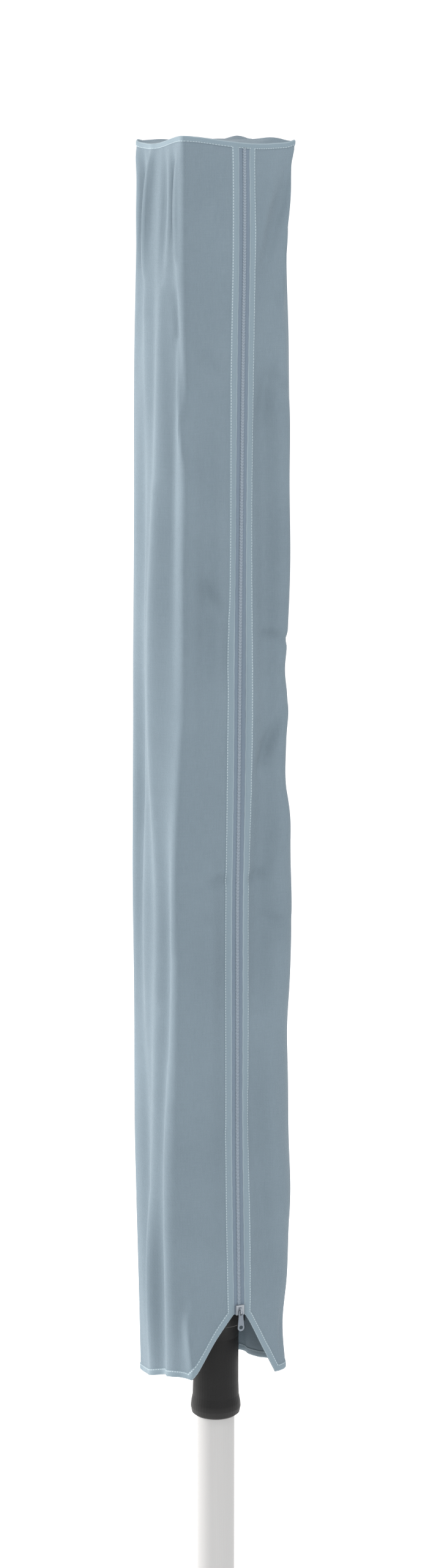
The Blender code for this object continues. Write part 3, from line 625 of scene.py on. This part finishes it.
def moulded(name, color, rough, grain, strength, scuff=None):
    """Moulded plastic: spark-eroded grain, uneven gloss, and worn edges where it is handled."""
    material, nodes, links, shader = new_material(name, color, rough, 0.0, 0.16)
    place = nodes.new("ShaderNodeTexCoord").outputs["Object"]
    fine = noise_node(nodes, links, place, grain, 3.0, 0.6)
    cloud = noise_node(nodes, links, place, 35.0, 4.0, 0.6)
    gloss = math_node(nodes, links, "MULTIPLY_ADD", cloud, 0.22, rough - 0.11)
    links.new(gloss, shader.inputs["Roughness"])
    lighter = tuple(min(1.0, c * 1.5 + 0.004) for c in color)
    tone = math_node(nodes, links, "MULTIPLY", fine, 0.55, clamp=True)
    base = mix_colors(nodes, links, tone, color, lighter)
    if scuff:
        edge = nodes.new("ShaderNodeNewGeometry").outputs["Pointiness"]
        worn = math_node(nodes, links, "MULTIPLY", math_node(nodes, links, "SUBTRACT", edge, 0.515),
                         9.0, clamp=True)
        worn = math_node(nodes, links, "MULTIPLY", worn, cloud, clamp=True)
        base = mix_colors(nodes, links, worn, base, scuff)
    links.new(base, shader.inputs["Base Color"])
    add_bump(nodes, links, shader, fine, strength, 0.15 * MM)
    return material


def drawn_metal(name, color, rough, metallic, lengthwise=True):
    """Drawn tube or strip with faint lines along it, or turned with lines round it."""
    material, nodes, links, shader = new_material(name, color, rough, metallic, 0.22)
    place = nodes.new("ShaderNodeTexCoord").outputs["Object"]
    scale = (900.0, 900.0, 6.0) if lengthwise else (60.0, 60.0, 900.0)
    lines = noise_node(nodes, links, stretched(nodes, links, place, scale), 1.0, 3.0, 0.7)
    cloud = noise_node(nodes, links, stretched(nodes, links, place, (20.0, 20.0, 3.0)), 1.0, 4.0)
    gloss = math_node(nodes, links, "MULTIPLY_ADD", lines, 0.16, rough - 0.08)
    gloss = math_node(nodes, links, "ADD", gloss, math_node(nodes, links, "MULTIPLY", cloud, 0.08))
    links.new(gloss, shader.inputs["Roughness"])
    darker = tuple(c * 0.88 for c in color)
    tone = math_node(nodes, links, "MULTIPLY_ADD", lines, 0.7, 0.2)
    links.new(mix_colors(nodes, links, tone, darker, color), shader.inputs["Base Color"])
    add_bump(nodes, links, shader, lines, 0.05, 0.05 * MM)
    return material


CLOTH_DARK = (0.022, 0.038, 0.054)
CLOTH_LIGHT = (0.222, 0.284, 0.330)
TAPE_DARK = (0.120, 0.166, 0.200)
TAPE_LIGHT = (0.190, 0.250, 0.290)
# colour of the stitch thread, also used for the painted highlight on the tapes' folded edges
THREAD_AND_HIGHLIGHT = (0.32, 0.39, 0.43)
ZIP_DARK = (0.085, 0.118, 0.155)
ZIP_LIGHT = (0.165, 0.210, 0.260)
# the coil's colour, shaded in the gaps between teeth and lit on their tops: painted shade and
# highlight
COIL_SHADED = (0.085, 0.115, 0.15)
COIL_LIT = (0.27, 0.33, 0.39)

# pitch of the two weaves
WEAVE = 1.45 * MM
ZIP_WEAVE = 0.9 * MM

cover_cloth = woven("cover_cloth", CLOTH_DARK, CLOTH_LIGHT, WEAVE)
zip_cloth = woven("zip_cloth", ZIP_DARK, ZIP_LIGHT, ZIP_WEAVE, 0.85, 0.05, 0.3)
edge_tape = binding("edge_tape", TAPE_DARK, TAPE_LIGHT, THREAD_AND_HIGHLIGHT)
zip_teeth = coil("zip_teeth", COIL_SHADED, COIL_LIT)
slider_metal = moulded("slider_metal", (0.13, 0.152, 0.18), 0.36, 900.0, 0.05, (0.40, 0.43, 0.46))
slider_metal.node_tree.nodes["Principled BSDF"].inputs["Metallic"].default_value = 0.45
grip_plastic = moulded("grip_plastic", (0.0065, 0.0066, 0.007), 0.50, 1500.0, 0.16, (0.07, 0.07, 0.07))
body_plastic = moulded("body_plastic", (0.010, 0.0103, 0.011), 0.46, 1800.0, 0.10, (0.08, 0.08, 0.08))
rail_plastic = moulded("rail_plastic", (0.16, 0.17, 0.18), 0.5, 1800.0, 0.08)
liner_plastic = moulded("liner_plastic", (0.62, 0.62, 0.60), 0.35, 1200.0, 0.04)
foot_plastic = moulded("foot_plastic", (0.03, 0.03, 0.032), 0.55, 1200.0, 0.18, (0.10, 0.10, 0.10))
mast_metal = drawn_metal("mast_metal", (0.40, 0.40, 0.402), 0.46, 0.30)
arm_metal = drawn_metal("arm_metal", (0.58, 0.585, 0.59), 0.40, 0.7)
stay_metal = drawn_metal("stay_metal", (0.52, 0.525, 0.53), 0.42, 0.8)
rivet_metal = drawn_metal("rivet_metal", (0.50, 0.50, 0.51), 0.30, 1.0, False)

# ---------------------------------------------------------------- solids that are kept

def finish(item, material, width, angle):
    """Give a solid of the frame its material and slightly rounded edges."""
    item.data.materials.clear()
    item.data.materials.append(material)
    soften = item.modifiers.new("soften", "BEVEL")
    soften.width = width
    soften.segments = 2
    soften.limit_method = "ANGLE"
    soften.angle_limit = math.radians(angle)
    item.data.shade_smooth()
    item.data.set_sharp_from_angle(angle=SHARP)


# The first row whose start fits a node's name gives its material; the slot name in its last column is
# not used
FINISHES = (
    (("mast_tube",), mast_metal, "mast"),
    (("arm_tube",), arm_metal, "arm"),
    (("stay_1", "stay_2", "stay_3", "stay_4"), stay_metal, "stay"),
    (("stay_pin", "knee_pin", "arm_pin"), rivet_metal, "pin"),
    (("grip_sleeve",), grip_plastic, "grip"),
    (("crown_liner", "thrust_disc"), liner_plastic, "liner"),
    (("crown", "top_hub", "top_cap", "arm_root", "stay_bracket", "tip_cap"), body_plastic, "moulding"),
    (("line_rail",), rail_plastic, "rail"),
    (("foot_cup", "foot_plug"), foot_plastic, "foot"),
    (("lock_pin",), rivet_metal, "lock"),
)
finished = set()
for starts, material, slot_name in FINISHES:
    for node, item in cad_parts.items():
        if node not in finished and node.startswith(starts):
            finished.add(node)
            finish(item, material, 0.35 * MM, 40.0)

# ---------------------------------------------------------------- cover

def dress(item, material, slot_name, *nodes):
    """Give a soft piece of the cover its finish and its body, and hide the solids it stands for."""
    item.data.materials.append(material)
    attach(item, "cover")
    if nodes:
        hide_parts(*nodes)
    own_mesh(item)
    return item


def cloth_piece(name, columns_of, turns):
    """The part of the cloth grid in the given columns, with its turns for the UV layer."""
    faces = cloth_faces(columns_of)
    coords = np.stack([turns.ravel() * FACE, height_grid.ravel()], axis=-1)
    used = sorted({corner for face in faces for corner in face})
    renumber = {old: new for new, old in enumerate(used)}
    faces = [tuple(renumber[corner] for corner in face) for face in faces]
    return grid_mesh(name, cloth_grid.reshape(-1, 3)[used], faces, coords[used])


def build_body():
    """The cover's cloth, open where the zip is, with its thickness inwards."""
    cloth = cloth_piece("cover", lambda row: (0, BODY_COLUMNS), turn_grid)
    thick = cloth.modifiers.new("thick", "SOLIDIFY")
    thick.thickness = 0.5 * MM
    thick.offset = -1.0
    bpy.context.view_layer.objects.active = cloth
    cloth.select_set(True)
    bpy.ops.object.modifier_apply(modifier="thick")
    return cloth


def zip_columns(row):
    return (BODY_COLUMNS, COLUMNS) if row >= foot_row else (0, 0)


cover = build_body()
zip_sheet = cloth_piece("zip_sheet", zip_columns, from_zip(turn_grid))

# The top panel's middle, its rings, and its low humps: azimuth in degrees and height in mm
TOP_MIDDLE = 2.2320
TOP_LEVELS = 22
TOP_HUMPS = ((68.0, 3.0), (248.0, 2.0), (338.0, 5.0))
HUMP_OUT = 72.0 * MM
HUMP_REACH = 20.0 * MM


def build_top():
    """The top panel, tented over the four arm tips and the hub."""
    ring = cloth_grid[-1]
    centre = ring.mean(axis=0)
    centre[2] = TOP_MIDDLE
    rows = []
    for level in range(TOP_LEVELS):
        share = 1.0 - level / TOP_LEVELS
        line = centre + (ring - centre) * share
        line[:, 2] = ring[:, 2]
        wave = 1.6 * MM * np.sin(9.0 * line[:, 0] / 0.1 + 2.0) * np.sin(7.0 * line[:, 1] / 0.1)
        line[:, 2] += (TOP_MIDDLE - line[:, 2]) * (1.0 - share ** 1.6)
        line[:, 2] += wave * (1.0 - share) * share * 3.0
        for azimuth, high in TOP_HUMPS:
            away = np.hypot(line[:, 0] - HUMP_OUT * math.cos(math.radians(azimuth)),
                            line[:, 1] - HUMP_OUT * math.sin(math.radians(azimuth)))
            line[:, 2] += high * MM * bell(away, 0.0, HUMP_REACH) * smooth(1.0 - share, 0.0, 0.2)
        rows.append(line)
    count = len(ring)
    points = np.concatenate(rows + [centre[None]])
    faces = []
    for level in range(TOP_LEVELS - 1):
        for step in range(count):
            after = (step + 1) % count
            faces.append((level * count + step, level * count + after,
                          (level + 1) * count + after, (level + 1) * count + step))
    last = (TOP_LEVELS - 1) * count
    for step in range(count):
        faces.append((last + step, last + (step + 1) % count, TOP_LEVELS * count))
    return grid_mesh("top_panel", points, faces, points[:, :2].copy())


top_panel = build_top()


# Section of a tape folded over an edge, from its hidden side round to its face: how far in from the
# edge in widths, and how far off the cloth in thicknesses
TAPE_SECTION = ((1.0, -1.0), (0.55, -1.5), (0.06, -1.5), (-0.07, -0.3), (0.06, 0.75), (0.35, 1.0),
                (0.65, 0.92), (0.94, 0.75), (1.0, 0.0))


def tape(name, edge, inward, width, puckers=1.0, thickness=0.9):
    """A tape folded over an edge of the cloth. The edge is (along, height) on the flat cloth,
    inward the direction to its other side there."""
    points = []
    coords = []
    length = 0.0
    for step, (along, height) in enumerate(edge):
        if step:
            length += math.dist(edge[step - 1], edge[step])
        wave = math.sin(length / (5.1 * MM)) + 0.6 * math.sin(length / (2.3 * MM) + 1.3)
        for share, high in TAPE_SECTION:
            reach = width * share
            if share > 0.9 or share < 0.1:
                reach += 0.12 * puckers * MM * wave
            place = (along + inward[step][0] * reach, height + inward[step][1] * reach)
            point, normal = on_cloth(*place)
            rise = thickness * MM * high + 0.10 * puckers * MM * wave * max(high, 0.0)
            points.append(point + normal * rise)
            coords.append((abs(share), length))
    faces = strip_faces(len(edge), len(TAPE_SECTION))
    return grid_mesh(name, np.array(points), faces, np.array(coords))


def inward_of(edge, sign):
    """At each place of an edge, the direction at a right angle to it."""
    result = []
    for step in range(len(edge)):
        a = edge[max(step - 2, 0)]
        b = edge[min(step + 2, len(edge) - 1)]
        span = math.dist(a, b)
        result.append((-sign * (b[1] - a[1]) / span, sign * (b[0] - a[0]) / span))
    return result


def side_edge(side):
    """Beside the zip from the top down, then along the edge of the flap to the hem."""
    beside = ZIP_HALF * FACE - 0.3 * MM
    top = float(top_edge(np.array(0.0))) - 2.0 * MM
    foot = foot_row / ROWS
    hem = float(hem_edge(np.array(side * ZIP_HALF)))
    start = hem + (float(top_edge(np.array(side * ZIP_HALF))) - hem) * foot
    path = [(side * beside, float(height)) for height in np.arange(top, start + 1.2 * MM, -2.4 * MM)]
    for share in np.linspace(0.0, 1.0, 60):
        turn = side * flap_turn(side, share)
        rise = float(top_edge(np.array(turn)) - hem_edge(np.array(turn)))
        path.append((turn * FACE, float(hem_edge(np.array(turn))) + rise * foot * (1.0 - share)))
    return path


def ring_edge(start, stop, curve, above):
    """Round the cover from one turn to another, on a curve or a little above it."""
    path = []
    for turn in np.arange(start, stop, 2.6 * MM / FACE):
        path.append((float(turn) * FACE, float(curve(np.array(turn))) + above))
    return path


right_edge = side_edge(1.0)
left_edge = side_edge(-1.0)
binding_right = tape("tape_right", right_edge, inward_of(right_edge, 1.0), 9.2 * MM)
binding_left = tape("tape_left", left_edge, inward_of(left_edge, -1.0), 9.2 * MM)
hem_line = ring_edge(FLAP_RIGHT, 4.0 - FLAP_LEFT, hem_edge, 0.0)
hem_tape = tape("tape_hem", hem_line, [(0.0, 1.0)] * len(hem_line), 8.6 * MM)
top_line = ring_edge(-ZIP_HALF, 4.0 - ZIP_HALF + 0.02, top_edge, 1.2 * MM)
top_tape = tape("tape_top", top_line, [(0.0, -1.0)] * len(top_line), 6.8 * MM, 0.6, 1.1)


def zip_ridge():
    """The closed coil down the middle of the zip."""
    profile = ((-2.3, 0.0), (-2.1, 0.9), (-1.1, 1.5), (-0.2, 1.1), (0.2, 1.1), (1.1, 1.5),
               (2.1, 0.9), (2.3, 0.0))
    points = []
    coords = []
    heights = np.arange(float(top_edge(0.0)) - 5.0 * MM, 0.7300, -2.5 * MM)
    for height in heights:
        point, normal = on_cloth(0.0, float(height))
        across = np.cross((0.0, 0.0, 1.0), normal)
        for aside, high in profile:
            points.append(point + across * aside * MM + normal * (high + 0.1) * MM)
            coords.append((aside / 4.6 + 0.5, height))
    # the rows run downwards here, so the faces turn the other way round
    faces = [(a, d, c, b) for a, b, c, d in strip_faces(len(heights), len(profile))]
    return grid_mesh("coil", np.array(points), faces, np.array(coords))


zip_coil = zip_ridge()

dress(cover, cover_cloth, "cover", "cover_body")
dress(top_panel, cover_cloth, "cover", "cover_top")
dress(zip_sheet, zip_cloth, "zip_tape", "zip_tape")
dress(zip_coil, zip_teeth, "zip_coil", "zip_coil")
dress(binding_left, edge_tape, "binding", "binding_left")
dress(binding_right, edge_tape, "binding", "binding_right")
dress(hem_tape, edge_tape, "binding", "hem_binding")
dress(top_tape, edge_tape, "binding", "top_binding")

# ---------------------------------------------------------------- zip slider and pull

def build_pull():
    """A cast pull: narrow at its fork, round at its foot, with a rim round the hole."""
    foot_r, foot_z = 4.6 * MM, -22.6 * MM
    hole_r, hole_z = 2.5 * MM, -22.2 * MM
    fork_half, fork_low, fork_high = 1.6 * MM, -5.6 * MM, -1.1 * MM
    outline = []
    for step in range(-12, 13):
        angle = math.radians(-90.0 + step * 8.5)
        outline.append((foot_r * math.cos(angle), foot_z + foot_r * math.sin(angle)))
    outline += [(3.3 * MM, -9.0 * MM), (2.9 * MM, -1.2 * MM), (2.2 * MM, 0.8 * MM)]
    outline += [(-x, z) for x, z in reversed(outline[-3:])]
    hole = [(hole_r * math.cos(math.radians(15.0 * step)),
             hole_z + hole_r * math.sin(math.radians(15.0 * step))) for step in range(24)]
    fork = [(-fork_half, fork_low), (fork_half, fork_low), (fork_half, fork_high),
            (-fork_half, fork_high)]
    bm = bmesh.new()
    edges = []
    for loop in (outline, hole, fork):
        corners = [bm.verts.new((0.0, x, z)) for x, z in loop]
        for step in range(len(corners)):
            edges.append(bm.edges.new((corners[step - 1], corners[step])))
    bmesh.ops.triangle_fill(bm, use_beauty=True, use_dissolve=False, edges=edges)
    for face in list(bm.faces):
        middle = face.calc_center_median()
        in_hole = math.hypot(middle.y, middle.z - hole_z) < hole_r - 0.1 * MM
        in_fork = abs(middle.y) < fork_half and fork_low < middle.z < fork_high
        if in_hole or in_fork:
            bm.faces.remove(face)
    bmesh.ops.recalc_face_normals(bm, faces=bm.faces)
    mesh = bpy.data.meshes.new("pull")
    bm.to_mesh(mesh)
    bm.free()
    pull = bpy.data.objects.new("pull", mesh)
    bpy.context.scene.collection.objects.link(pull)
    deepen = pull.modifiers.new("deepen", "SOLIDIFY")
    deepen.thickness = 1.9 * MM
    deepen.offset = 0.0
    soften = pull.modifiers.new("soften", "BEVEL")
    soften.width = 0.5 * MM
    soften.segments = 3
    soften.limit_method = "ANGLE"
    bpy.context.view_layer.objects.active = pull
    for name in ("deepen", "soften"):
        bpy.ops.object.modifier_apply(modifier=name)
    _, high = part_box("zip_pull")
    angle = math.radians(FACE_DEG - 90.0)
    out = 84.4 * MM
    mesh.transform(Matrix.Rotation(angle, 4, "Z"))
    mesh.transform(Matrix.Translation((out * math.cos(angle), out * math.sin(angle),
                                       high[2] - 0.9 * MM)))
    mesh.shade_smooth()
    mesh.set_sharp_from_angle(angle=SHARP)
    mesh.materials.append(slider_metal)
    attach(pull, "zip_pull")
    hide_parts("zip_pull")


build_pull()
finish(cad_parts["zip_slider"], slider_metal, 0.4 * MM, 30.0)

# ---------------------------------------------------------------- floor, light and camera

LAMP_COLOR = (1.0, 0.965, 0.925)


def lamp(name, place, width, height, power):
    """A rectangular lamp aimed at the middle of the cover."""
    data = bpy.data.lights.new(name, "AREA")
    data.shape = "RECTANGLE"
    data.size = width
    data.size_y = height
    data.energy = power
    data.color = LAMP_COLOR
    item = bpy.data.objects.new(name, data)
    item.location = place
    direction = Vector((0.0, 0.0, 1.4)) - Vector(place)
    item.rotation_euler = direction.to_track_quat("-Z", "Y").to_euler()
    bpy.context.scene.collection.objects.link(item)


def build_stage():
    """A white floor and world, with a strong lamp at the left and two weak ones in front."""
    mesh = bpy.data.meshes.new("floor")
    reach = 40.0
    mesh.from_pydata([(-reach, -reach, 0.0), (reach, -reach, 0.0), (reach, reach, 0.0),
                      (-reach, reach, 0.0)], [], [(0, 1, 2, 3)])
    floor = bpy.data.objects.new("floor", mesh)
    bpy.context.scene.collection.objects.link(floor)
    material, _, _, shader = new_material("floor_paint", (0.95, 0.95, 0.95), 0.9, 0.0, 0.2)
    shader.inputs["Emission Color"].default_value = (1.0, 1.0, 1.0, 1.0)
    shader.inputs["Emission Strength"].default_value = 0.10
    mesh.materials.append(material)
    world = bpy.data.worlds.new("studio")
    bpy.context.scene.world = world
    world.use_nodes = True
    world.node_tree.nodes["Background"].inputs["Color"].default_value = (1.0, 1.0, 1.0, 1.0)
    world.node_tree.nodes["Background"].inputs["Strength"].default_value = 1.15
    bpy.context.scene.view_settings.view_transform = "Standard"
    lamp("key", (-4.0, 1.1, 2.2), 0.7, 2.2, 250.0)
    lamp("front", (2.4, -3.9, 3.2), 0.6, 1.0, 34.0)
    lamp("top", (0.8, -2.4, 5.0), 0.8, 0.8, 50.0)


def build_camera():
    """Five metres in front, a little above the top, looking down by 12.46 degrees."""
    data = bpy.data.cameras.new("camera")
    data.lens = 92.5
    data.sensor_width = 36.0
    data.clip_end = 200.0
    camera = bpy.data.objects.new("camera", data)
    camera.location = (0.0004, -5.06, 2.53)
    camera.rotation_euler = (math.radians(90.0 - 12.46), 0.0, 0.0)
    bpy.context.scene.collection.objects.link(camera)
    bpy.context.scene.camera = camera


build_stage()
build_camera()
